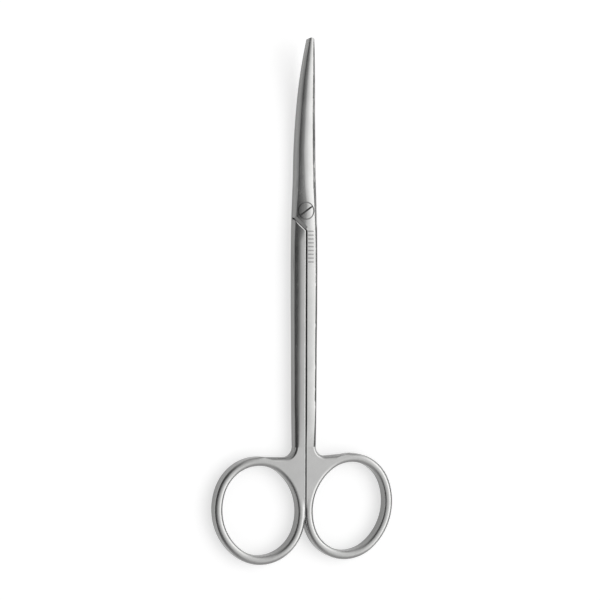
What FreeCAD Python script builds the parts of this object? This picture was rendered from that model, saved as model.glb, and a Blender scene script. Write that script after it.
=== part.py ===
import FreeCAD, Part
import math
import os

Vector = FreeCAD.Vector
UP = Vector(0, 0, 1)

# The pair lies closed on a table: +Y to the tips, +X to the upper half's ring, +Z up.
# The origin is on the pivot axis, at the table.

# Lengths along the closed pair
blade_length = 58.0          # pivot axis to the tip
ring_reach = 101.2           # pivot axis to the middle of a finger ring

# Thicknesses and clearances
thickness = 4.0              # shank, joint and ring
web_relief = 0.06            # how far the web lies below the ring's crown, top and bottom
shank_gap = 0.3              # open line between the two closed shanks
lap_gap = 0.06               # running clearance between the two lapped faces
shoulder_gap = 0.3           # open line along each shoulder

# Joint
shoulder_angle = 42.0        # slope of the shoulder below the X axis, degrees
shoulder_distance = 4.9      # pivot axis to the middle of the shoulder's open line
joint_break_width = 1.0      # bevel on the lapped part beside the shoulder
joint_break_drop = 0.6
edge_break_width = 0.35      # shallow bevel on the facing edges of the shanks and shoulders
edge_break_drop = 0.14

# Blades, curved on the flat with both tips turned up
bend_start = 15.0            # distance from the pivot axis at which the curve begins
bend_radius = 176.0
tip_radius = 1.7             # roundness of the tip in plan

# Screw
screw_shank_radius = 1.5
screw_head_radius = 2.85
screw_head_cone = 90.0       # included angle of the countersink, degrees
screw_clearance = 0.04       # running clearance of the upper half round the screw
rim_groove_width = 0.28      # groove between the head's rim and the joint
rim_groove_depth = 0.2
slot_width = 0.6
slot_depth = 0.45
slot_angle = 35.0            # direction of the driving slot from the X axis, degrees

# Finger rings: an oval of four arcs that leans outwards at its top
ring_long_radius = 16.8      # to the middle of the limb
ring_short_radius = 14.8
ring_end_tightness = 1.0     # how much less than the short radius the two end arcs bend at
ring_place = 1.45            # facing plane to the ring's nearest middle line, were it upright
ring_lean = 15.5             # tilt of the long axis away from the Y axis, degrees
limb_width = 3.0
limb_crown_slope = 3.0       # fall of the limb's top from its middle to each side, degrees
limb_corner_radius = 0.6     # roundness of the limb's four corners
corner_bands = 3             # narrow bands that make up each rounded corner

# Web between shank and ring
web_slope = 3.0              # rise of the ring's upper side away from the shank, degrees
web_corner_radius = 3.3
web_round = 1.4              # edge rounding along the web's outer side
web_inset = 0.05             # how far the web's outline lies inside the ring's own
web_cover = 0.15             # how far the bar's end lies below the web's flat top
web_overlap = 8.0            # how far the bar runs on inside the web

# Half widths of the closed pair and the arch of its crown
neck_half_width = 4.12       # where the shanks turn into the rings
shank_half_width = 4.45      # at the widest place of the shanks
joint_half_width = 4.12
joint_arch = 0.40
half_height = thickness / 2

# Values worked out from those above
room = 3 * ring_reach        # larger than the object, for the solids that split the pair
same_place = 0.01            # two points nearer than this are one
quarter_turn = 90.0          # degrees
web_half_height = half_height - web_relief
ring_centre = Vector(ring_place + ring_short_radius, -ring_reach, 0)
long_way = Vector(math.sin(math.radians(ring_lean)), math.cos(math.radians(ring_lean)), 0)
short_way = Vector(-long_way.y, long_way.x, 0)
ring_end_bend = ring_short_radius - ring_end_tightness
end_offset = ring_long_radius - ring_end_bend
ring_side_bend = (end_offset ** 2 + ring_short_radius ** 2 - ring_end_bend ** 2) \
    / (2 * (ring_short_radius - ring_end_bend))
side_offset = ring_side_bend - ring_short_radius

# The web's upper side touches the ring's end arc and turns into the shank through a corner
web_up = Vector(-math.sin(math.radians(web_slope)), math.cos(math.radians(web_slope)), 0)
web_along = Vector(web_up.y, -web_up.x, 0)
web_touch = ring_centre + long_way * end_offset \
    + web_up * (ring_end_bend + limb_width / 2 - web_inset)
web_corner_x = neck_half_width + web_corner_radius
web_corner = web_touch + web_along * ((web_corner_x - web_touch.x) / web_along.x) \
    + Vector(0, web_corner_radius / web_along.x, 0)
shank_length = -web_corner.y

# Sections of the closed pair. Each row gives the place along Y, the half width and half
# height, the height of the crown's arch, then the inset and drop of the edge above the
# spine side and those of the edge above the cutting side.
shank_rows = [
    (-shank_length - web_overlap, neck_half_width, web_half_height - web_cover,
     0.02, 1.20, 1.10, 1.20, 1.10),
    (-0.99 * shank_length, neck_half_width, web_half_height, 0.02, 1.20, 1.10, 1.20, 1.10),
    (-0.80 * shank_length, 4.14, half_height, 0.24, 0.50, 0.50, 0.50, 0.50),
    (-0.55 * shank_length, 4.28, half_height, 0.38, 0.45, 0.45, 0.45, 0.45),
    (-0.33 * shank_length, shank_half_width, half_height, 0.44, 0.45, 0.45, 0.45, 0.45),
    (-0.13 * shank_length, 4.39, half_height, 0.44, 0.45, 0.45, 0.45, 0.45),
]
blade_rows = [
    (0.03 * blade_length, joint_half_width, half_height, joint_arch, 0.92, 0.75, 0.65, 0.45),
    (0.14 * blade_length, 3.80, 1.98, 0.34, 1.00, 0.80, 0.80, 0.40),
    (0.35 * blade_length, 3.55, 1.92, 0.32, 1.00, 0.80, 0.80, 0.40),
    (0.58 * blade_length, 3.06, 1.78, 0.26, 0.94, 0.74, 0.78, 0.38),
    (0.75 * blade_length, 2.53, 1.62, 0.20, 0.82, 0.62, 0.74, 0.36),
    (0.87 * blade_length, 1.92, 1.48, 0.14, 0.64, 0.50, 0.66, 0.34),
    (0.96 * blade_length, 1.34, 1.36, 0.08, 0.46, 0.40, 0.52, 0.32),
    (1.01 * blade_length, 0.98, 1.30, 0.05, 0.32, 0.34, 0.40, 0.30),
]
edge_bulge = 0.04            # how far an edge of the section bows out, as a share of its length

def lap_height(distance):
    """Height of the lapped faces at a distance from the pivot axis."""
    past = max(0.0, distance - bend_start)
    return half_height + bend_radius - math.sqrt(bend_radius ** 2 - past ** 2)


def bowed_edge(start, end, middle):
    """An arc from start to end that bows away from the section's middle."""
    chord = end - start
    half_way = (start + end) * 0.5
    outward = Vector(chord.z, 0, -chord.x).normalize()
    if outward.dot(half_way - middle) < 0:
        outward = outward * -1
    return Part.Arc(start, half_way + outward * (chord.Length * edge_bulge), end).toShape()


def section(row):
    """The closed pair's outline at one place. Turned half round, it fits itself."""
    y, half_width, crown_height, arch, spine_in, spine_drop, edge_in, edge_drop = row
    middle = Vector(0, y, lap_height(y))
    shoulder = crown_height - arch
    upper = [
        Vector(-half_width, 0, shoulder - spine_drop),
        Vector(-half_width + spine_in, 0, shoulder),
        Vector((spine_in - edge_in) / 2, 0, crown_height),
        Vector(half_width - edge_in, 0, shoulder),
        Vector(half_width, 0, shoulder - edge_drop),
    ]
    a, b, crown, c, d = [middle + point for point in upper]
    e, f, keel, g, h = [middle - point for point in upper]
    return Part.Wire([
        Part.makeLine(h, a),
        bowed_edge(a, b, middle),
        Part.Arc(b, crown, c).toShape(),
        bowed_edge(c, d, middle),
        Part.makeLine(d, e),
        bowed_edge(e, f, middle),
        Part.Arc(f, keel, g).toShape(),
        bowed_edge(g, h, middle),
    ])


def closed_pair():
    """Shanks, joint and blades as one bar, before it is parted into its two halves."""
    bar = Part.makeLoft([section(row) for row in shank_rows + blade_rows], True)
    cap_y = blade_length - tip_radius
    plan = Part.Face(Part.Wire([
        Part.makeLine(Vector(-tip_radius, cap_y, 0), Vector(-room, cap_y - room, 0)),
        Part.makeLine(Vector(-room, cap_y - room, 0), Vector(room, cap_y - room, 0)),
        Part.makeLine(Vector(room, cap_y - room, 0), Vector(tip_radius, cap_y, 0)),
        Part.Arc(Vector(tip_radius, cap_y, 0), Vector(0, blade_length, 0),
                 Vector(-tip_radius, cap_y, 0)).toShape(),
    ]))
    column = plan.extrude(UP * 2 * room)
    column.translate(UP * -room)
    return bar.common(column)


def prism(points):
    """A column over a plan outline, taller than the object both ways."""
    face = Part.Face(Part.makePolygon(points + points[:1]))
    column = face.extrude(UP * 2 * room)
    column.translate(UP * -room)
    return column


def shoulder_line(side, distance):
    """The shoulder's line on one side (-1 or 1): its inner end and its direction outwards."""
    slope = math.radians(shoulder_angle)
    inner_y = (-distance + shank_gap / 2 * math.sin(slope)) / math.cos(slope)
    inner = Vector(side * shank_gap / 2, inner_y, 0)
    along = Vector(side * math.cos(slope), math.sin(slope), 0)
    return inner, along


def shank_room(side):
    """The room of the full-thickness shank on one side, up to its shoulder."""
    inner, along = shoulder_line(side, shoulder_distance + shoulder_gap / 2)
    outer = inner + along * room
    return prism([
        Vector(inner.x, -room, 0),
        inner,
        outer,
        Vector(outer.x, -room, 0),
    ])


def lapped_room(side):
    """The plan room of the lapped part on the side of its own shank, clear of the other's."""
    reach = shoulder_distance - shoulder_gap / 2
    inner, along = shoulder_line(-side, reach)
    foot = inner - along * inner.dot(along)
    left = Vector(-side * room, foot.y, 0)
    plan = prism([
        Vector(side * shank_gap / 2, -room, 0),
        Vector(side * shank_gap / 2, inner.y, 0),
        inner,
        foot,
        Vector(0, 0, 0),
        Vector(-side * room, 0, 0),
        Vector(-side * room, room, 0),
        Vector(side * room, room, 0),
        Vector(side * room, -room, 0),
    ])
    hub = Part.makeCylinder(reach, 2 * room, UP * -room)
    return plan.fuse(hub.common(prism([
        Vector(0, 0, 0),
        Vector(-side * room, 0, 0),
        left,
        foot,
    ])))


def lap_side(sign):
    """All that lies above (1) or below (-1) the lapped faces, turned about the pivot axis."""
    step = sign * lap_gap / 2
    far = blade_length * 1.1
    half_way = (bend_start + far) / 2
    near = Vector(0, 0, lap_height(0) + step)
    start = Vector(bend_start, 0, lap_height(bend_start) + step)
    middle = Vector(half_way, 0, lap_height(half_way) + step)
    end = Vector(far, 0, lap_height(far) + step)
    ceiling = sign * room
    profile = Part.Face(Part.Wire([
        Part.makeLine(near, start),
        Part.Arc(start, middle, end).toShape(),
        Part.makeLine(end, Vector(far, 0, ceiling)),
        Part.makeLine(Vector(far, 0, ceiling), Vector(0, 0, ceiling)),
        Part.makeLine(Vector(0, 0, ceiling), near),
    ]))
    return profile.revolve(Vector(0, 0, 0), UP, 360)


def corner_cut(start, end, inward, up, width, drop):
    """A bar that bevels the edge from start to end. Inward points into the piece."""
    def outline(point):
        return Part.makePolygon([
            point - up * drop,
            point + inward * width,
            point + inward * width + up,
            point - inward + up,
            point - inward - up * drop,
            point - up * drop,
        ])
    return Part.makeLoft([outline(start), outline(end)], True, True)


def limb_section(place, outward):
    """The limb's outline at one place on its middle line: a low crown and rounded corners."""
    middle = place + UP * half_height
    turn = quarter_turn - limb_crown_slope
    across = limb_width / 2 - limb_corner_radius
    fall = (across + limb_corner_radius * math.sin(math.radians(limb_crown_slope))) \
        * math.tan(math.radians(limb_crown_slope))
    lift = half_height - fall - limb_corner_radius * math.cos(math.radians(limb_crown_slope))
    corner = []
    for step in range(corner_bands + 1):
        angle = math.radians(turn * step / corner_bands)
        corner.append((across + limb_corner_radius * math.cos(angle),
                       lift + limb_corner_radius * math.sin(angle)))
    crown = [outward * x + UP * z for x, z in corner]
    crown.append(UP * half_height)
    crown.extend(outward * -x + UP * z for x, z in reversed(corner))
    points = [middle + point for point in crown] + [middle - point for point in crown]
    return Part.Face(Part.makePolygon(points + points[:1]))


def finger_ring():
    """The right-hand ring: a crowned limb turned through the four arcs of its oval."""
    half_end = math.degrees(math.atan2(side_offset, end_offset))
    arcs = [
        (long_way, end_offset, ring_end_bend, half_end),
        (short_way, -side_offset, ring_side_bend, quarter_turn - half_end),
        (long_way * -1, end_offset, ring_end_bend, half_end),
        (short_way * -1, -side_offset, ring_side_bend, quarter_turn - half_end),
    ]
    limbs = []
    for outward, offset, bend, half_turn in arcs:
        centre = ring_centre + outward * offset
        limb = limb_section(centre + outward * bend, outward)
        limb.rotate(centre, UP, -half_turn)
        limbs.append(limb.revolve(centre, UP, 2 * half_turn))
    return limbs[0].fuse(limbs[1:])


def web():
    """The flat web that joins the right-hand shank to its ring."""
    corner_start = Vector(neck_half_width, web_corner.y, 0)
    inwards = (Vector(-1, 0, 0) - web_up).normalize()
    corner_middle = web_corner + inwards * web_corner_radius
    corner_end = web_corner - web_up * web_corner_radius
    low = Vector(web_touch.x, ring_centre.y, 0)
    outline = Part.Wire([
        Part.makeLine(Vector(0, web_corner.y, 0), corner_start),
        Part.Arc(corner_start, corner_middle, corner_end).toShape(),
        Part.makeLine(corner_end, web_touch),
        Part.makeLine(web_touch, low),
        Part.makeLine(low, Vector(0, low.y, 0)),
        Part.makeLine(Vector(0, low.y, 0), Vector(0, web_corner.y, 0)),
    ])
    outline.translate(UP * web_relief)
    plate = Part.Face(outline).extrude(UP * 2 * web_half_height)
    marks = [corner_middle, (corner_end + web_touch) * 0.5]
    edges = []
    for edge in plate.Edges:
        middle = edge.valueAt((edge.FirstParameter + edge.LastParameter) / 2)
        flat_middle = Vector(middle.x, middle.y, 0)
        if any((flat_middle - mark).Length < same_place for mark in marks):
            edges.append(edge)
    plate = plate.makeFillet(web_round, edges)
    hole = Part.Face(Part.Wire(Part.Ellipse(
        ring_centre + long_way * ring_long_radius,
        ring_centre + short_way * ring_short_radius,
        ring_centre).toShape())).extrude(UP * thickness)
    return plate.cut(hole)


def handle():
    """Ring and web of the right-hand side, cut flat where the two halves face each other."""
    facing = Part.makeBox(room, 2 * room, 2 * room, Vector(shank_gap / 2, -room, -room))
    return finger_ring().fuse(web()).common(facing)


def facing_bevels(side):
    """Bars that break the edges where one shank faces the other, top and bottom."""
    inner = shoulder_line(side, shoulder_distance + shoulder_gap / 2)[0]
    inward = Vector(side, 0, 0)
    bars = []
    for height, up in ((thickness, UP), (0, UP * -1)):
        start = Vector(inner.x, inner.y, height)
        end = Vector(inner.x, -ring_reach - ring_long_radius / 2, height)
        bars.append(corner_cut(start, end, inward, up, edge_break_width, edge_break_drop))
    return bars


def shoulder_bevel(side, own_shank, up, width, drop):
    """A bar that breaks a shoulder's edge. The shank that owns the shoulder is on that side."""
    away = shoulder_gap / 2 if own_shank else -shoulder_gap / 2
    inner, along = shoulder_line(side, shoulder_distance + away)
    across = Vector(side * along.y, -abs(along.x), 0)
    inward = across if own_shank else across * -1
    top = UP * (thickness if up.z > 0 else 0)
    end = inner + along * (joint_half_width / abs(along.x))
    return corner_cut(inner + top, end + top - up * joint_arch, inward, up, width, drop)


def screw_body(clearance):
    """Countersunk screw about the pivot axis, grown by a clearance, taller than the joint."""
    shank = screw_shank_radius + clearance
    head = screw_head_radius + clearance
    spread = math.tan(math.radians(screw_head_cone / 2))
    depth = (screw_head_radius - screw_shank_radius) / spread
    cone = Part.makeCone(shank, head, depth, UP * (thickness - depth))
    mouth = Part.makeCylinder(head, thickness, UP * thickness)
    stem = Part.makeCylinder(shank, 2 * thickness, UP * -thickness)
    return stem.fuse([cone, mouth])


def rim_groove(bar):
    """The groove round the screw's head, as deep all round under the crown."""
    inner = screw_head_radius - rim_groove_width / 2
    outer = screw_head_radius + rim_groove_width / 2
    ring = Part.makeCylinder(outer, thickness, UP * half_height).cut(
        Part.makeCylinder(inner, thickness, UP * half_height))
    floor = bar.copy()
    floor.translate(UP * -rim_groove_depth)
    return ring.cut(floor)


def half(bar, side):
    """One half of the pair. Side 1 is the upper half, -1 the lower half."""
    up = UP * side
    lapped = bar.common(lapped_room(side)).common(lap_side(side))
    shank = bar.common(shank_room(side))
    grip = handle()
    if side < 0:
        grip = grip.mirror(Vector(0, 0, 0), Vector(1, 0, 0))
    body = lapped.fuse([shank, grip])
    body = body.cut(facing_bevels(side))
    body = body.cut(shoulder_bevel(-side, False, up, joint_break_width, joint_break_drop))
    body = body.cut(shoulder_bevel(side, True, up * -1, edge_break_width, edge_break_drop))
    if side > 0:
        body = body.cut(rim_groove(bar))
    clearance = screw_clearance if side > 0 else 0
    return body.cut(screw_body(clearance)).removeSplitter()


def pivot_screw(bar):
    """The screw: head flush with the joint's crown and slotted, end flat at the table."""
    stem = Part.makeCylinder(screw_shank_radius, half_height)
    body = bar.common(screw_body(0)).fuse(stem).cut(rim_groove(bar)).removeSplitter()
    slot = Part.makeBox(4 * screw_head_radius, slot_width, thickness)
    slot.translate(Vector(-2 * screw_head_radius, -slot_width / 2, thickness - slot_depth))
    slot.rotate(Vector(0, 0, 0), UP, slot_angle)
    return body.cut(slot)


def main():
    os.makedirs("parts", exist_ok=True)
    bar = closed_pair()
    nodes = {
        "upper_blade_half": half(bar, 1),
        "lower_blade_half": half(bar, -1),
        "pivot_screw": pivot_screw(bar),
    }
    for name, shape in nodes.items():
        shape.exportStep("parts/" + name + ".step")


main()
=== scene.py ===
"""Looks of a pair of fine curved dissecting scissors, lying closed, built round its CAD frame."""

import math

import bpy
import numpy as np
from bpy.props import FloatProperty, FloatVectorProperty, PointerProperty
from mathutils import Matrix, Vector


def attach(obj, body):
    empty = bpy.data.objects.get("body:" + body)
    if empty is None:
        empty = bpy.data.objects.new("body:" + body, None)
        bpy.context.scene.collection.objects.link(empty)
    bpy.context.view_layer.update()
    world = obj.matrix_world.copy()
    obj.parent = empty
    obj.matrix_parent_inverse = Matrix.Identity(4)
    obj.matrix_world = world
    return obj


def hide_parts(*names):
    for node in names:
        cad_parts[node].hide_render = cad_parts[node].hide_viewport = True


bl_info = {
    "name": "Dissecting scissors",
    "version": (1, 0, 0),
    "blender": (4, 5, 0),
    "location": "3D View > Sidebar > Scissors",
    "description": "Finishes the scissors' steel pieces and sets up the studio they lie in",
    "category": "Object",
}

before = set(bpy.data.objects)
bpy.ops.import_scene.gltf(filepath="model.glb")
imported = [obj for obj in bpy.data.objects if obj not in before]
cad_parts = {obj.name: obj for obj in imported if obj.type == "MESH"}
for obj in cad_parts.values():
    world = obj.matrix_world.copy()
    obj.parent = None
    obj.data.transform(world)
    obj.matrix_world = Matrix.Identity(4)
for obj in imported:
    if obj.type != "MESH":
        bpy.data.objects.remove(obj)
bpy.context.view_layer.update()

MERGE_DISTANCE = 1e-6
SURFACE = 0.0                 # height of the table that the pair lies on

# The ground crown of shanks, joint and blades, in millimetres: place along the pair, height
# above the middle, half the width of the arc, place of its middle across, and its rise. Then,
# in half widths, the places across at which the ground surface leans by each of the LEANS,
# which are in degrees towards the right
LEANS = (-11.5, -6.4, -2.0, 3.5, 11.0, 14.0, 31.0)
CROWN = np.array((
    (-80.3, 1.93, 2.92, 0.000, 0.02, -0.96, -0.92, -0.80, 1.20, 1.80, 2.00, 2.20),
    (-79.4, 1.94, 2.92, 0.000, 0.02, -0.94, -0.88, -0.74, 1.00, 1.60, 1.80, 2.00),
    (-74.0, 1.96, 3.18, 0.000, 0.10, -0.92, -0.78, -0.54, 0.44, 1.10, 1.30, 1.50),
    (-64.2, 2.00, 3.64, 0.000, 0.24, -0.92, -0.66, -0.35, 0.28, 0.84, 0.88, 0.93),
    (-44.1, 2.00, 3.83, 0.000, 0.38, -0.86, -0.58, -0.32, 0.28, 0.84, 0.88, 0.93),
    (-26.5, 2.00, 4.00, 0.000, 0.44, -0.80, -0.51, -0.29, 0.28, 0.84, 0.88, 0.93),
    (-10.4, 2.00, 3.94, 0.000, 0.44, -0.80, -0.51, -0.29, 0.28, 0.84, 0.88, 0.93),
    (-5.0, 2.00, 3.66, 0.050, 0.42, -0.95, -0.10, 0.09, 0.33, 0.60, 0.87, 0.95),
    (1.7, 2.00, 3.33, 0.135, 0.40, -1.00, 0.05, 0.17, 0.33, 0.50, 0.88, 0.96),
    (8.1, 1.98, 2.90, 0.100, 0.34, -1.00, -0.18, -0.05, 0.12, 0.42, 0.88, 0.96),
    (20.3, 1.92, 2.65, 0.100, 0.32, -1.00, -0.34, -0.19, 0.00, 0.34, 0.88, 0.96),
    (33.6, 1.78, 2.20, 0.080, 0.26, -1.00, -0.28, -0.12, 0.07, 0.40, 0.88, 0.96),
    (43.5, 1.62, 1.75, 0.040, 0.20, -0.90, -0.26, -0.10, 0.09, 0.42, 0.88, 0.96),
    (50.5, 1.48, 1.27, -0.010, 0.14, -0.90, -0.20, -0.04, 0.15, 0.45, 0.88, 0.96),
    (55.7, 1.36, 0.85, -0.030, 0.08, -0.90, -0.20, -0.04, 0.15, 0.45, 0.88, 0.96),
    (58.6, 1.30, 0.62, -0.040, 0.05, -0.90, -0.20, -0.04, 0.15, 0.45, 0.88, 0.96),
))
# The shanks' outer edge bands: place along the pair and half its width, in millimetres, then
# the lean in degrees at which the left-hand band leaves the crown
SHANK_BANDS = np.array((
    (-80.3, 4.12, -10.0),
    (-64.2, 4.14, -14.0),
    (-44.1, 4.28, -26.0),
    (-26.5, 4.45, -30.0),
    (-10.4, 4.39, -30.0),
    (-2.0, 4.25, -30.0),
))
RIGHT_BAND = 31.0             # lean at which the right-hand band leaves the crown
LEFT_SIDE = -48.0             # leans at which the bands meet the sides
RIGHT_SIDE = 33.0
LIMB_START = -79.4            # the rings' limbs lie below this place along the pair
LAP_HEIGHT = 2.0              # millimetres, middle of the pair up to where the blades curve
BEND_START = 15.0
BEND_RADIUS = 176.0

# The right-hand ring's oval, in millimetres: each arc's centre, middle direction, radius and
# half its turn in degrees
RING_CENTRE = np.array((16.25, -101.2))
LONG_WAY = np.array((math.sin(math.radians(15.5)), math.cos(math.radians(15.5))))
SHORT_WAY = np.array((-LONG_WAY[1], LONG_WAY[0]))
RING_ARCS = (
    (RING_CENTRE + 3.0 * LONG_WAY, LONG_WAY, 13.8, 53.13),
    (RING_CENTRE - 4.0 * SHORT_WAY, SHORT_WAY, 18.8, 36.87),
    (RING_CENTRE - 3.0 * LONG_WAY, -LONG_WAY, 13.8, 53.13),
    (RING_CENTRE + 4.0 * SHORT_WAY, -SHORT_WAY, 18.8, 36.87),
)
LIMB_FLAT = 0.9               # half the width of the limb's top, in millimetres
LIMB_CORNER = 0.6             # width of the rounding beside it
SIDE_LEAN = 10.0              # lean of the top where it meets the corner: at the ring's sides
END_LEAN = 24.0               # and at its ends, degrees
FLANK_PLACES = (0.0, 0.3, 0.6, 0.9, 1.2, 1.5)    # off the middle of a right-hand flank
FLANK_LEANS = (0.0, 4.0, 24.0, 27.0, 34.0, 90.0)

CROWN_FIT = 0.08              # crown faces lie this near to the table's surface, millimetres
BAND_REACH = 0.08             # share of its width by which a band may reach into the crown
LIMB_REACH = 0.05             # millimetres by which a limb's face may pass its rounding
FACING_EDGE = 0.0006          # the facing edges lie nearer to the middle plane than this
FACING_BEND = math.radians(8)  # least bend at which a facing edge is kept sharp
STEEP = 0.6                   # upward share of a normal below which a face counts as a side
SHOULDER_NORMAL = (-math.sin(math.radians(42)), -math.cos(math.radians(42)), 0)
SHOULDER_DISTANCE = 0.0049    # pivot axis to the open line along the shoulder
SHOULDER_MIDDLE = 0.0026      # height of the middle of the upper shoulder
GROOVE_RADIUS = 0.00285       # groove round the screw's head
SLOT_FLOOR = 0.00356          # height of the floor of the screw's slot
BARS_ACROSS = 0.00175         # middle of the row of etched bars
BARS_ALONG = -0.01215
BARS_WIDTH = 0.0021
BARS_LENGTH = 0.0114
BAR_PITCH = 0.0013
BAR_WIDTH = 0.00045
ETCH_EDGE = 0.00006

NOISE_LOW = 0.3               # between these lie most readings of a noise
NOISE_HIGH = 0.7
CLOUDS = 140.0                # cloudy patches to a metre
DULLEST = 0.94                # tone of the steel in its dullest and in its brightest patches
BRIGHTEST_STEEL = 1.04
SMOOTHER = 0.05               # by which the roughness falls and rises with grain and patches
ROUGHER = 0.06
GRAIN_SHARE = 0.6             # share of the grain, against the patches, in the roughness
GRAIN_STRENGTH = 0.15
GRAIN_DEPTH = 0.00001


# Sizes and colours

class SteelSettings(bpy.types.PropertyGroup):
    colour: FloatVectorProperty(
        name="Colour", description="Colour of the bare steel", subtype="COLOR",
        size=3, min=0, max=1, default=(0.455, 0.455, 0.45))
    roughness: FloatProperty(
        name="Roughness", description="Roughness of the satin finish", subtype="FACTOR",
        min=0, max=1, default=0.22)
    # Painted shade: the sides and the shanks' right-hand edge bands take a darker copy of the
    # steel, this much as bright.
    painted_side_shade: FloatProperty(
        name="Side tone", description="Brightness of the sides against the ground faces",
        subtype="FACTOR", min=0, max=1, default=0.62)
    grain_length: FloatProperty(
        name="Grain length", description="Length of a grinding mark along the pair",
        unit="LENGTH", min=0.0005, max=0.02, precision=4, default=0.004)
    grain_width: FloatProperty(
        name="Grain width", description="Width of a grinding mark across the pair",
        unit="LENGTH", min=0.00002, max=0.001, precision=5, default=0.00012)
    edge_round: FloatProperty(
        name="Edge rounding", description="Width of the polished rounding on every edge",
        unit="LENGTH", min=0.00001, max=0.0002, precision=5, default=0.00005)
    sharp_angle: FloatProperty(
        name="Sharp angle", description="Edges turning by more than this are rounded",
        subtype="ANGLE", min=math.radians(10), max=math.radians(80), default=math.radians(34))


class StageSettings(bpy.types.PropertyGroup):
    table_colour: FloatVectorProperty(
        name="Table colour", description="Colour of the table top", subtype="COLOR",
        size=3, min=0, max=1, default=(0.7, 0.7, 0.7))
    table_glow: FloatProperty(
        name="Table glow",
        description="Light added to the table where the camera or the steel sees it",
        min=0, max=1, default=0.58)
    view_roll: FloatProperty(
        name="View roll", description="Angle by which the camera stands left of straight above",
        subtype="ANGLE", default=math.radians(22))
    view_pitch: FloatProperty(
        name="View pitch", description="Tilt of the camera towards the rings", subtype="ANGLE",
        default=math.radians(0.348))
    view_turn: FloatProperty(
        name="View turn", description="Turn of the picture in its own plane", subtype="ANGLE",
        default=math.radians(-0.116))
    view_distance: FloatProperty(
        name="View distance", description="Distance from the camera to the pivot", unit="LENGTH",
        default=0.5284)
    view_across: FloatProperty(
        name="View across", description="Place of the pivot right of the picture's middle",
        unit="LENGTH", precision=5, default=0.001402)
    view_up: FloatProperty(
        name="View up", description="Place of the pivot above the picture's middle",
        unit="LENGTH", precision=5, default=0.03029)
    lens: FloatProperty(
        name="Lens", description="Focal length of the camera in millimetres", default=93.16)
    room_light: FloatProperty(
        name="Room light", description="Brightness of the studio's walls", default=1.0)
    softbox_light: FloatProperty(
        name="Softbox light", description="Radiance of the softbox on the right", default=0.6)


# Shared steps

def only_active(piece):
    """Selects one object and nothing else."""
    bpy.ops.object.select_all(action="DESELECT")
    piece.select_set(True)
    bpy.context.view_layer.objects.active = piece


def finished_copy(node, name, round_width, sharp_angle):
    """A merged copy of a CAD node with its edges rounded and its curved faces shaded smooth."""
    piece = bpy.data.objects.new(name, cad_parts[node].data.copy())
    bpy.context.scene.collection.objects.link(piece)
    only_active(piece)
    bpy.ops.object.mode_set(mode="EDIT")
    bpy.ops.mesh.select_all(action="SELECT")
    bpy.ops.mesh.remove_doubles(threshold=MERGE_DISTANCE)
    bpy.ops.mesh.customdata_custom_splitnormals_clear()
    bpy.ops.mesh.dissolve_limited(angle_limit=math.radians(0.2))
    bpy.ops.object.mode_set(mode="OBJECT")
    bevel = piece.modifiers.new("Edge rounding", "BEVEL")
    bevel.width = round_width
    bevel.segments = 2
    bevel.limit_method = "ANGLE"
    bevel.angle_limit = sharp_angle
    bevel.use_clamp_overlap = True
    bpy.ops.object.modifier_apply(modifier=bevel.name)
    split_crown(piece)
    bpy.ops.object.shade_smooth_by_angle(angle=math.radians(40))
    part_crown(piece.data)
    weighted = piece.modifiers.new("Flat faces first", "WEIGHTED_NORMAL")
    weighted.mode = "FACE_AREA"
    weighted.weight = 80
    weighted.keep_sharp = True
    bpy.ops.object.modifier_apply(modifier=weighted.name)
    smooth_crown(piece.data)
    return piece


def crown_at(x, y):
    """At places in millimetres: the crown's height, its arc's normal, its ground surface's
    normal and the height of the pair's middle."""
    column = [np.interp(y, CROWN[:, 0], values) for values in CROWN.T]
    height, half_chord, middle, rise = column[1:5]
    radius = (half_chord ** 2 + rise ** 2) / (2 * rise)
    past = np.clip(y - BEND_START, 0, None)
    lap = LAP_HEIGHT + BEND_RADIUS - np.sqrt(BEND_RADIUS ** 2 - past ** 2)
    lap_slope = past / np.sqrt(BEND_RADIUS ** 2 - past ** 2)
    across = np.clip((x - middle) / radius, -0.5, 0.5)
    top = lap + height - radius * (1 - np.sqrt(1 - across ** 2))
    lean = np.full(len(x), LEANS[0])
    for low, high, start, end in zip(LEANS, LEANS[1:], column[5:], column[6:]):
        lean += (high - low) * np.clip((x / half_chord - start) / (end - start), 0, 1)
    lean = np.radians(lean)
    arc = np.stack([across, -lap_slope, np.sqrt(1 - across ** 2)], axis=-1)
    ground = np.stack([np.sin(lean), -lap_slope, np.cos(lean)], axis=-1)
    arc /= np.linalg.norm(arc, axis=-1, keepdims=True)
    ground /= np.linalg.norm(ground, axis=-1, keepdims=True)
    return top, arc, ground, lap


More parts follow.
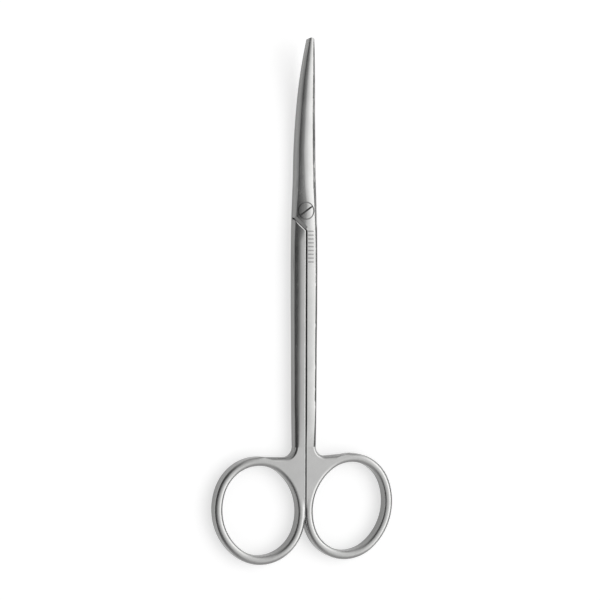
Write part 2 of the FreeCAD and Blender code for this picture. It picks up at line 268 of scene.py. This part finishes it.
def limb_normals(at):
    """The polished limb's normals at places in millimetres, and how far each place is from the
    limb's middle line. The ring's side of the web is left level."""
    side = np.where(at[:, 0] > 0, 1, -1)
    flat = np.stack([at[:, 0] * side, at[:, 1]], axis=-1)
    out = np.zeros_like(flat)
    off = np.full(len(flat), 99.0)
    for centre, way, radius, half_turn in RING_ARCS:
        reach = flat - centre
        length = np.linalg.norm(reach, axis=1) + 1e-9
        turn = np.degrees(np.arccos(np.clip(reach @ way / length, -1, 1)))
        inside = turn <= half_turn + 0.01
        out[inside] = (reach / length[:, None])[inside]
        off[inside] = (length - radius)[inside]
    up = np.where(at[:, 2] > LAP_HEIGHT, 1, -1)
    steepest = SIDE_LEAN + (END_LEAN - SIDE_LEAN) * out[:, 1] ** 2
    lean = steepest * np.clip(off / LIMB_FLAT, -1, 1)
    corner = np.degrees(np.arcsin(np.clip((np.abs(off) - LIMB_FLAT) / LIMB_CORNER, 0, 1)))
    lean = np.where(corner > np.abs(lean), np.sign(off) * corner, lean)
    held = np.sign(off) * np.interp(np.abs(off), FLANK_PLACES, FLANK_LEANS)
    rightward = np.clip(2 * np.sign(off) * out[:, 0] * side * up, 0, 1)
    lean += rightward * (held - lean)
    webbed = np.clip(4 * np.minimum(-out[:, 0], out[:, 1]), 0, 1)
    lean = np.radians(np.where(off > 0, lean * (1 - webbed), lean))
    normals = np.stack([out[:, 0] * side * np.sin(lean), out[:, 1] * np.sin(lean),
                        np.cos(lean) * up], axis=-1)
    return normals, off


def corners_of(mesh):
    """A mesh as arrays: each corner's place in millimetres and the side, above (1) or below
    (-1), that its face looks to, then each face's first corner, corner count and normal."""
    places = np.zeros(len(mesh.vertices) * 3)
    mesh.vertices.foreach_get("co", places)
    of_corner = np.zeros(len(mesh.loops), dtype=np.int32)
    mesh.loops.foreach_get("vertex_index", of_corner)
    starts = np.zeros(len(mesh.polygons), dtype=np.int32)
    mesh.polygons.foreach_get("loop_start", starts)
    counts = np.zeros(len(mesh.polygons), dtype=np.int32)
    mesh.polygons.foreach_get("loop_total", counts)
    flats = np.zeros(len(mesh.polygons) * 3)
    mesh.polygons.foreach_get("normal", flats)
    flats = flats.reshape(-1, 3)
    at = places.reshape(-1, 3)[of_corner] * 1000
    side = np.repeat(np.where(flats[:, 2] > 0, 1, -1), counts)
    return at, side, starts, counts, flats


def agreement(normals, starts, flats):
    """How well the mean of each face's corner normals agrees with the face itself."""
    mean = np.add.reduceat(normals, starts)
    mean /= np.linalg.norm(mean, axis=1, keepdims=True)
    return (mean * flats).sum(axis=1)


def crown_faces(mesh):
    """Which faces belong to the ground crowns, above and below, and all corners' normals there."""
    at, side, starts, counts, flats = corners_of(mesh)
    top, arc, ground, lap = crown_at(at[:, 0] * side, at[:, 1])
    off = np.abs(at[:, 2] - lap - side * (top - lap))
    found = (np.minimum.reduceat(at[:, 1], starts) >= CROWN[0, 0]) \
        & (np.abs(flats[:, 2]) > 0.9) \
        & (np.maximum.reduceat(off, starts) < CROWN_FIT) \
        & (agreement(arc * side[:, None], starts, flats) > 0.97)
    return found, ground * side[:, None]


def band_faces(mesh):
    """Which faces belong to the shanks' outer edge bands, and all corners' normals there."""
    at, side, starts, counts, flats = corners_of(mesh)
    across = at[:, 0] * side
    inner = np.interp(at[:, 1], CROWN[:, 0], CROWN[:, 2])
    outer, left_band = [
        np.interp(at[:, 1], SHANK_BANDS[:, 0], values) for values in SHANK_BANDS.T[1:]]
    share = (np.abs(across) - inner) / (outer - inner)
    start = np.where(across < 0, left_band, RIGHT_BAND)
    end = np.where(across < 0, LEFT_SIDE, RIGHT_SIDE)
    lean = np.radians(start + (end - start) * np.clip(share, 0, 1))
    normals = np.stack([np.sin(lean) * side, np.zeros(len(lean)), np.cos(lean) * side], axis=-1)
    found = (np.minimum.reduceat(at[:, 1], starts) >= SHANK_BANDS[0, 0]) \
        & (np.maximum.reduceat(at[:, 1], starts) <= SHANK_BANDS[-1, 0]) \
        & (np.minimum.reduceat(share, starts) > -BAND_REACH) \
        & (np.abs(flats[:, 2]) > 0.3) \
        & (np.abs(flats[:, 2]) < 0.96)
    return found, normals


def limb_faces(mesh):
    """Which faces belong to the polished limbs of the rings, and all corners' normals there."""
    at, side, starts, counts, flats = corners_of(mesh)
    normals, off = limb_normals(at)
    found = (np.maximum.reduceat(at[:, 1], starts) < LIMB_START) \
        & (np.maximum.reduceat(np.abs(at[:, 0]), starts) > FACING_EDGE * 1000) \
        & (np.maximum.reduceat(np.abs(off), starts) < LIMB_FLAT + LIMB_CORNER + LIMB_REACH) \
        & (agreement(normals, starts, flats) > 0.8)
    return found, normals


def split_crown(piece):
    """Cuts the ground crowns finer, so that their shading can turn within the arc."""
    bpy.ops.object.mode_set(mode="EDIT")
    bpy.ops.mesh.select_mode(type="FACE")
    bpy.ops.mesh.select_all(action="DESELECT")
    bpy.ops.object.mode_set(mode="OBJECT")
    piece.data.polygons.foreach_set("select", crown_faces(piece.data)[0])
    bpy.ops.object.mode_set(mode="EDIT")
    bpy.ops.mesh.quads_convert_to_tris()
    bpy.ops.mesh.subdivide(number_cuts=3)
    bpy.ops.object.mode_set(mode="OBJECT")


def part_crown(mesh):
    """Marks the outlines of crowns and facing bevels sharp, so that shading stops there."""
    crown = crown_faces(mesh)[0]
    sides = {}
    for face in mesh.polygons:
        for key in face.edge_keys:
            sides.setdefault(key, []).append(face)
    for edge in mesh.edges:
        faces = sides.get(edge.key, [])
        if len(faces) != 2:
            continue
        bend = faces[0].normal.angle(faces[1].normal, 0)
        facing = max(abs(mesh.vertices[index].co.x) for index in edge.vertices) < FACING_EDGE
        if crown[faces[0].index] != crown[faces[1].index] \
                or (facing and bend > FACING_BEND):
            edge.use_edge_sharp = True


def smooth_crown(mesh):
    """Turns the corner normals on crowns, edge bands and ring limbs to the polished surface's."""
    normals = np.zeros(len(mesh.loops) * 3)
    mesh.corner_normals.foreach_get("vector", normals)
    normals = normals.reshape(-1, 3)
    counts = corners_of(mesh)[3]
    for found, polished in (crown_faces(mesh), band_faces(mesh), limb_faces(mesh)):
        chosen = np.repeat(found, counts)
        normals[chosen] = polished[chosen]
    mesh.normals_split_custom_set(normals.tolist())


def dress(piece, material, painted_shade_side_material, node, body):
    """Gives a finished piece its materials and sets it on its body in place of its CAD node."""
    piece.data.materials.clear()
    piece.data.materials.append(material)
    piece.data.materials.append(painted_shade_side_material)
    # The sides and the shanks' right-hand edge bands take the second material, a darker copy of
    # the steel: painted shade.
    band = band_faces(piece.data)[0]
    for face in piece.data.polygons:
        painted_shade_right_band = band[face.index] and face.center.x * face.normal.z > 0
        face.material_index = 1 if painted_shade_right_band or abs(face.normal.z) < STEEP else 0
    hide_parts(node)
    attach(piece, body)


# Materials

def stepped(nodes, links, value, low, high, at_low, at_high):
    """Turns a value smoothly from one level to another between two of its readings."""
    step = nodes.new("ShaderNodeMapRange")
    step.interpolation_type = "SMOOTHSTEP"
    step.inputs["From Min"].default_value = low
    step.inputs["From Max"].default_value = high
    step.inputs["To Min"].default_value = at_low
    step.inputs["To Max"].default_value = at_high
    links.new(value, step.inputs["Value"])
    return step.outputs["Result"]


def ranged(nodes, links, noise, at_low, at_high):
    """Spreads a noise's usual readings evenly between two levels."""
    spread = nodes.new("ShaderNodeMapRange")
    spread.inputs["From Min"].default_value = NOISE_LOW
    spread.inputs["From Max"].default_value = NOISE_HIGH
    spread.inputs["To Min"].default_value = at_low
    spread.inputs["To Max"].default_value = at_high
    links.new(noise, spread.inputs["Value"])
    return spread.outputs["Result"]


def distance_from(nodes, links, value, middle):
    """How far a value is from a middle reading."""
    less = nodes.new("ShaderNodeMath")
    less.operation = "SUBTRACT"
    less.inputs[1].default_value = middle
    links.new(value, less.inputs[0])
    size = nodes.new("ShaderNodeMath")
    size.operation = "ABSOLUTE"
    links.new(less.outputs["Value"], size.inputs[0])
    return size.outputs["Value"]


def groove_shade(nodes, links, place):
    """Painted shade: darkens the colour in the groove round the screw's head."""
    flat = nodes.new("ShaderNodeVectorMath")
    flat.operation = "MULTIPLY"
    flat.inputs[1].default_value = (1, 1, 0)
    links.new(place, flat.inputs[0])
    reach = nodes.new("ShaderNodeVectorMath")
    reach.operation = "LENGTH"
    links.new(flat.outputs["Vector"], reach.inputs[0])
    off = distance_from(nodes, links, reach.outputs["Value"], GROOVE_RADIUS)
    return stepped(nodes, links, off, 0.0001, 0.00034, 0.45, 1.0)


def slot_shade(nodes, links, place):
    """Painted shade in the screw's driving slot: darkens the colour at and below the slot floor's
    height.
    """
    split = nodes.new("ShaderNodeSeparateXYZ")
    links.new(place, split.inputs["Vector"])
    return stepped(nodes, links, split.outputs["Z"], SLOT_FLOOR, SLOT_FLOOR + 0.0002, 0.12, 1.0)


def greatest_of(nodes, links, values):
    """The greatest of several values."""
    greatest = values[0]
    for value in values[1:]:
        pair = nodes.new("ShaderNodeMath")
        pair.operation = "MAXIMUM"
        links.new(greatest, pair.inputs[0])
        links.new(value, pair.inputs[1])
        greatest = pair.outputs["Value"]
    return greatest


def etched_marks(nodes, links, place):
    """A row of plain etched bars on the upper shank."""
    split = nodes.new("ShaderNodeSeparateXYZ")
    links.new(place, split.inputs["Vector"])
    across = distance_from(nodes, links, split.outputs["X"], BARS_ACROSS)
    along = distance_from(nodes, links, split.outputs["Y"], BARS_ALONG)
    wave = nodes.new("ShaderNodeMath")
    wave.operation = "PINGPONG"
    wave.inputs[1].default_value = BAR_PITCH / 2
    links.new(along, wave.inputs[0])
    outside = [
        stepped(nodes, links, value, size / 2, size / 2 + ETCH_EDGE, 0, 1)
        for value, size in ((across, BARS_WIDTH), (along, BARS_LENGTH),
                            (wave.outputs["Value"], BAR_WIDTH))
    ]
    return stepped(nodes, links, greatest_of(nodes, links, outside), 0, 1, 0.6, 1.0)


def shoulder_shade(nodes, links, place):
    """Painted shade down in the open line along the shoulder: darkens the colour there."""
    split = nodes.new("ShaderNodeSeparateXYZ")
    links.new(place, split.inputs["Vector"])
    reach = nodes.new("ShaderNodeVectorMath")
    reach.operation = "DOT_PRODUCT"
    reach.inputs[1].default_value = SHOULDER_NORMAL
    links.new(place, reach.inputs[0])
    off = distance_from(nodes, links, reach.outputs["Value"], SHOULDER_DISTANCE)
    depth = distance_from(nodes, links, split.outputs["Z"], SHOULDER_MIDDLE)
    outside = [
        stepped(nodes, links, off, 0.0003, 0.0004, 0, 1),
        stepped(nodes, links, depth, 0.0005, 0.0008, 0, 1),
        stepped(nodes, links, split.outputs["X"], 0.0, 0.0002, 0, 1),
    ]
    return stepped(nodes, links, greatest_of(nodes, links, outside), 0, 1, 0.15, 1.0)


def gap_shade(nodes, links, place):
    """Painted shade down in the open line between the shanks: darkens the colour there."""
    split = nodes.new("ShaderNodeSeparateXYZ")
    links.new(place, split.inputs["Vector"])
    off = distance_from(nodes, links, split.outputs["X"], 0)
    return stepped(nodes, links, off, 0.00018, 0.00022, 0.2, 1.0)


def satin_steel(name, settings, painted_shade_and_etching=(), painted_shade_factor=1.0):
    """Ground and satin-polished stainless steel with marks that run along the pair."""
    material = bpy.data.materials.new(name)
    material.use_nodes = True
    nodes = material.node_tree.nodes
    links = material.node_tree.links
    shader = nodes["Principled BSDF"]
    shader.inputs["Metallic"].default_value = 1.0

    place = nodes.new("ShaderNodeTexCoord")
    grain_place = nodes.new("ShaderNodeMapping")
    grain_place.inputs["Scale"].default_value = (
        1 / settings.grain_width, 1 / settings.grain_length, 1 / settings.grain_width)
    links.new(place.outputs["Object"], grain_place.inputs["Vector"])
    grain = nodes.new("ShaderNodeTexNoise")
    grain.inputs["Scale"].default_value = 1.0
    grain.inputs["Detail"].default_value = 3.0
    links.new(grain_place.outputs["Vector"], grain.inputs["Vector"])

    cloud = nodes.new("ShaderNodeTexNoise")
    cloud.inputs["Scale"].default_value = CLOUDS
    cloud.inputs["Detail"].default_value = 4.0
    links.new(place.outputs["Object"], cloud.inputs["Vector"])

    # The cloudy patches vary the tone at random; a factor below one gives a darker copy of the
    # steel, as painted shade on the sides.
    brightness = ranged(nodes, links, cloud.outputs["Fac"], DULLEST * painted_shade_factor,
                        BRIGHTEST_STEEL * painted_shade_factor)
    # Each of these darkens the colour: the etched bars are print, the rest are painted shade in
    # the groove, the slot and the open lines.
    for darkening_of in painted_shade_and_etching:
        dark = nodes.new("ShaderNodeMath")
        dark.operation = "MULTIPLY"
        links.new(brightness, dark.inputs[0])
        links.new(darkening_of(nodes, links, place.outputs["Object"]), dark.inputs[1])
        brightness = dark.outputs["Value"]
    colour = nodes.new("ShaderNodeVectorMath")
    colour.operation = "SCALE"
    colour.inputs[0].default_value = settings.colour
    links.new(brightness, colour.inputs["Scale"])
    links.new(colour.outputs["Vector"], shader.inputs["Base Color"])

    mixed = nodes.new("ShaderNodeMath")
    mixed.operation = "MULTIPLY_ADD"
    mixed.inputs[1].default_value = GRAIN_SHARE
    links.new(grain.outputs["Fac"], mixed.inputs[0])
    clouded = nodes.new("ShaderNodeMath")
    clouded.operation = "MULTIPLY"
    clouded.inputs[1].default_value = 1 - GRAIN_SHARE
    links.new(cloud.outputs["Fac"], clouded.inputs[0])
    links.new(clouded.outputs["Value"], mixed.inputs[2])
    rough = ranged(nodes, links, mixed.outputs["Value"], settings.roughness - SMOOTHER,
                   settings.roughness + ROUGHER)
    links.new(rough, shader.inputs["Roughness"])

    bump = nodes.new("ShaderNodeBump")
    bump.inputs["Strength"].default_value = GRAIN_STRENGTH
    bump.inputs["Distance"].default_value = GRAIN_DEPTH
    links.new(grain.outputs["Fac"], bump.inputs["Height"])
    links.new(bump.outputs["Normal"], shader.inputs["Normal"])
    return material


def table_top(settings):
    """The pale table. It glows a little towards the camera, so that it reads white."""
    material = bpy.data.materials.new("pale_table")
    material.use_nodes = True
    nodes = material.node_tree.nodes
    links = material.node_tree.links
    shader = nodes["Principled BSDF"]
    shader.inputs["Base Color"].default_value = (*settings.table_colour, 1)
    shader.inputs["Roughness"].default_value = 0.8
    path = nodes.new("ShaderNodeLightPath")
    seen = nodes.new("ShaderNodeMath")
    seen.operation = "ADD"
    links.new(path.outputs["Is Camera Ray"], seen.inputs[0])
    links.new(path.outputs["Is Glossy Ray"], seen.inputs[1])
    also = nodes.new("ShaderNodeMath")
    also.operation = "ADD"
    also.use_clamp = True
    links.new(seen.outputs["Value"], also.inputs[0])
    links.new(path.outputs["Is Transmission Ray"], also.inputs[1])
    glow = nodes.new("ShaderNodeMath")
    glow.operation = "MULTIPLY"
    glow.inputs[1].default_value = settings.table_glow
    links.new(also.outputs["Value"], glow.inputs[0])
    shader.inputs["Emission Color"].default_value = (1, 1, 1, 1)
    links.new(glow.outputs["Value"], shader.inputs["Emission Strength"])
    return material


# Pieces

class SCISSORS_OT_halves(bpy.types.Operator):
    """Finish the two scissor halves in satin steel"""
    bl_idname = "scissors.halves"
    bl_label = "Scissor halves"
    bl_options = {"REGISTER", "UNDO"}

    def execute(self, context):
        steel = context.scene.scissors_steel
        for side in ("upper", "lower"):
            node = side + "_blade_half"
            piece = finished_copy(node, side + "_half_finished", steel.edge_round,
                                  steel.sharp_angle)
            # The upper half's top takes painted shade in the groove round the screw and its etched
            # bars; the sides take painted shade in the open lines.
            painted_shade_and_etching = (groove_shade, etched_marks) if side == "upper" else ()
            dress(piece, satin_steel(side + "_half_satin", steel, painted_shade_and_etching),
                  satin_steel(side + "_half_sides_painted_shade", steel, (shoulder_shade, gap_shade),
                              steel.painted_side_shade),
                  node, side + "_half")
        return {"FINISHED"}


class SCISSORS_OT_screw(bpy.types.Operator):
    """Finish the pivot screw"""
    bl_idname = "scissors.screw"
    bl_label = "Pivot screw"
    bl_options = {"REGISTER", "UNDO"}

    def execute(self, context):
        steel = context.scene.scissors_steel
        piece = finished_copy("pivot_screw", "pivot_screw_finished", steel.edge_round / 2,
                              steel.sharp_angle)
        # Both of the screw's materials take painted shade in the slot, and its top takes painted
        # shade in the groove as well.
        dress(piece, satin_steel("screw_satin", steel, (groove_shade, slot_shade)),
              satin_steel("screw_sides_painted_shade", steel, (slot_shade,), steel.painted_side_shade),
              "pivot_screw", "lower_half")
        return {"FINISHED"}


class SCISSORS_OT_stage(bpy.types.Operator):
    """Lay the table, light the room and stand the camera"""
    bl_idname = "scissors.stage"
    bl_label = "Studio"
    bl_options = {"REGISTER", "UNDO"}

    def execute(self, context):
        settings = context.scene.scissors_stage
        lay_table(settings)
        hang_lights(settings)
        stand_camera(settings)
        context.scene.view_settings.view_transform = "Standard"
        return {"FINISHED"}


def lay_table(settings):
    """A wide flat table at the height on which the pair rests."""
    bpy.ops.object.select_all(action="DESELECT")
    bpy.ops.mesh.primitive_plane_add(size=6, location=(0, 0, SURFACE))
    table = bpy.context.active_object
    table.name = "table"
    table.data.materials.append(table_top(settings))


def softbox(name, direction, distance, width, height, radiance):
    """A rectangular area lamp that faces the pair from a direction, at a given radiance."""
    lamp = bpy.data.lights.new(name, "AREA")
    lamp.shape = "RECTANGLE"
    lamp.size = width
    lamp.size_y = height
    lamp.energy = radiance * math.pi * width * height
    box = bpy.data.objects.new(name, lamp)
    box.location = Vector(direction).normalized() * distance
    box.rotation_euler = Vector(direction).to_track_quat("Z", "Y").to_euler()
    box.visible_camera = False
    bpy.context.scene.collection.objects.link(box)


# Brightness of the room seen from the pair: degrees right of straight above, and level
ROOM_LEVELS = (
    (-90, 0.60),
    (-60, 0.68),
    (-36, 0.08),
    (-2, 0.04),
    (4, 0.12),
    (8, 0.40),
    (12, 0.82),
    (17, 1.02),
    (28, 1.25),
    (45, 1.70),
    (65, 1.70),
    (74, 0.36),
    (80, 0.12),
    (90, 0.12),
)
BRIGHTEST = 2.0
END_WALLS = 0.55              # level of the walls behind the tips and behind the rings
SOFTBOX_LEAN = 57             # degrees right of straight above
SOFTBOX_DISTANCE = 0.7
SOFTBOX_LENGTH = 1.2
SOFTBOX_WIDTH = 0.22


def hang_lights(settings):
    """A room that is dim above and on the left and pale on the right, with one softbox."""
    world = bpy.data.worlds.new("studio")
    bpy.context.scene.world = world
    world.use_nodes = True
    nodes = world.node_tree.nodes
    links = world.node_tree.links
    ground = nodes["Background"]
    place = nodes.new("ShaderNodeTexCoord")
    split = nodes.new("ShaderNodeSeparateXYZ")
    links.new(place.outputs["Generated"], split.inputs["Vector"])
    turn = nodes.new("ShaderNodeMath")
    turn.operation = "ARCTAN2"
    links.new(split.outputs["X"], turn.inputs[0])
    links.new(split.outputs["Z"], turn.inputs[1])
    share = nodes.new("ShaderNodeMapRange")
    share.inputs["From Min"].default_value = -math.pi / 2
    share.inputs["From Max"].default_value = math.pi / 2
    links.new(turn.outputs["Value"], share.inputs["Value"])
    ramp = nodes.new("ShaderNodeValToRGB")
    ramp.color_ramp.interpolation = "EASE"
    while len(ramp.color_ramp.elements) < len(ROOM_LEVELS):
        ramp.color_ramp.elements.new(0.5)
    for element, (angle, _) in zip(ramp.color_ramp.elements, ROOM_LEVELS):
        element.position = (angle + 90) / 180
    for element, (_, level) in zip(ramp.color_ramp.elements, ROOM_LEVELS):
        element.color = (level / BRIGHTEST, level / BRIGHTEST, level / BRIGHTEST, 1)
    links.new(share.outputs["Result"], ramp.inputs["Fac"])
    along = nodes.new("ShaderNodeMath")
    along.operation = "ABSOLUTE"
    links.new(split.outputs["Y"], along.inputs[0])
    to_ends = nodes.new("ShaderNodeMapRange")
    to_ends.interpolation_type = "SMOOTHSTEP"
    to_ends.inputs["From Min"].default_value = 0.30
    to_ends.inputs["From Max"].default_value = 0.75
    links.new(along.outputs["Value"], to_ends.inputs["Value"])
    mixed = nodes.new("ShaderNodeMix")
    mixed.data_type = "FLOAT"
    mixed.inputs["B"].default_value = END_WALLS / BRIGHTEST
    links.new(to_ends.outputs["Result"], mixed.inputs["Factor"])
    links.new(ramp.outputs["Color"], mixed.inputs["A"])
    strength = nodes.new("ShaderNodeMath")
    strength.operation = "MULTIPLY"
    strength.inputs[1].default_value = BRIGHTEST * settings.room_light
    links.new(mixed.outputs["Result"], strength.inputs[0])
    ground.inputs["Color"].default_value = (1, 1, 1, 1)
    links.new(strength.outputs["Value"], ground.inputs["Strength"])
    lean = math.radians(SOFTBOX_LEAN)
    softbox("softbox_right", (math.sin(lean), 0, math.cos(lean)), SOFTBOX_DISTANCE,
            SOFTBOX_LENGTH, SOFTBOX_WIDTH, settings.softbox_light)


def stand_camera(settings):
    """The camera, placed so that the pair lies in the picture as it was photographed."""
    to_camera = (
        Matrix.Rotation(settings.view_turn, 3, "Z")
        @ Matrix.Rotation(settings.view_pitch, 3, "X")
        @ Matrix.Rotation(settings.view_roll, 3, "Y"))
    pivot = Vector((0, 0, 0.002))
    pivot_seen = Vector((settings.view_across, settings.view_up, -settings.view_distance))
    data = bpy.data.cameras.new("camera")
    data.sensor_width = 36
    data.lens = settings.lens
    data.clip_start = 0.01
    camera = bpy.data.objects.new("camera", data)
    camera.matrix_world = (
        Matrix.Translation(pivot - to_camera.transposed() @ pivot_seen)
        @ to_camera.transposed().to_4x4())
    bpy.context.scene.collection.objects.link(camera)
    bpy.context.scene.camera = camera


# Panel and registration

class SCISSORS_PT_panel(bpy.types.Panel):
    bl_label = "Dissecting scissors"
    bl_idname = "SCISSORS_PT_panel"
    bl_space_type = "VIEW_3D"
    bl_region_type = "UI"
    bl_category = "Scissors"

    def draw(self, context):
        steel = context.scene.scissors_steel
        stage = context.scene.scissors_stage
        column = self.layout.column(align=True)
        for key in ("colour", "roughness", "painted_side_shade", "grain_length", "grain_width",
                    "edge_round", "sharp_angle"):
            column.prop(steel, key)
        column.operator("scissors.halves")
        column.operator("scissors.screw")
        column = self.layout.column(align=True)
        for key in ("table_colour", "table_glow", "room_light", "softbox_light",
                    "view_roll", "view_pitch", "view_turn", "view_distance", "view_across",
                    "view_up", "lens"):
            column.prop(stage, key)
        column.operator("scissors.stage")


CLASSES = (
    SteelSettings,
    StageSettings,
    SCISSORS_OT_halves,
    SCISSORS_OT_screw,
    SCISSORS_OT_stage,
    SCISSORS_PT_panel,
)


def register():
    for cls in CLASSES:
        bpy.utils.register_class(cls)
    bpy.types.Scene.scissors_steel = PointerProperty(type=SteelSettings)
    bpy.types.Scene.scissors_stage = PointerProperty(type=StageSettings)


def unregister():
    del bpy.types.Scene.scissors_stage
    del bpy.types.Scene.scissors_steel
    for cls in reversed(CLASSES):
        bpy.utils.unregister_class(cls)


def main():
    register()
    bpy.ops.scissors.halves()
    bpy.ops.scissors.screw()
    bpy.ops.scissors.stage()


if __name__ == "__main__":
    main()
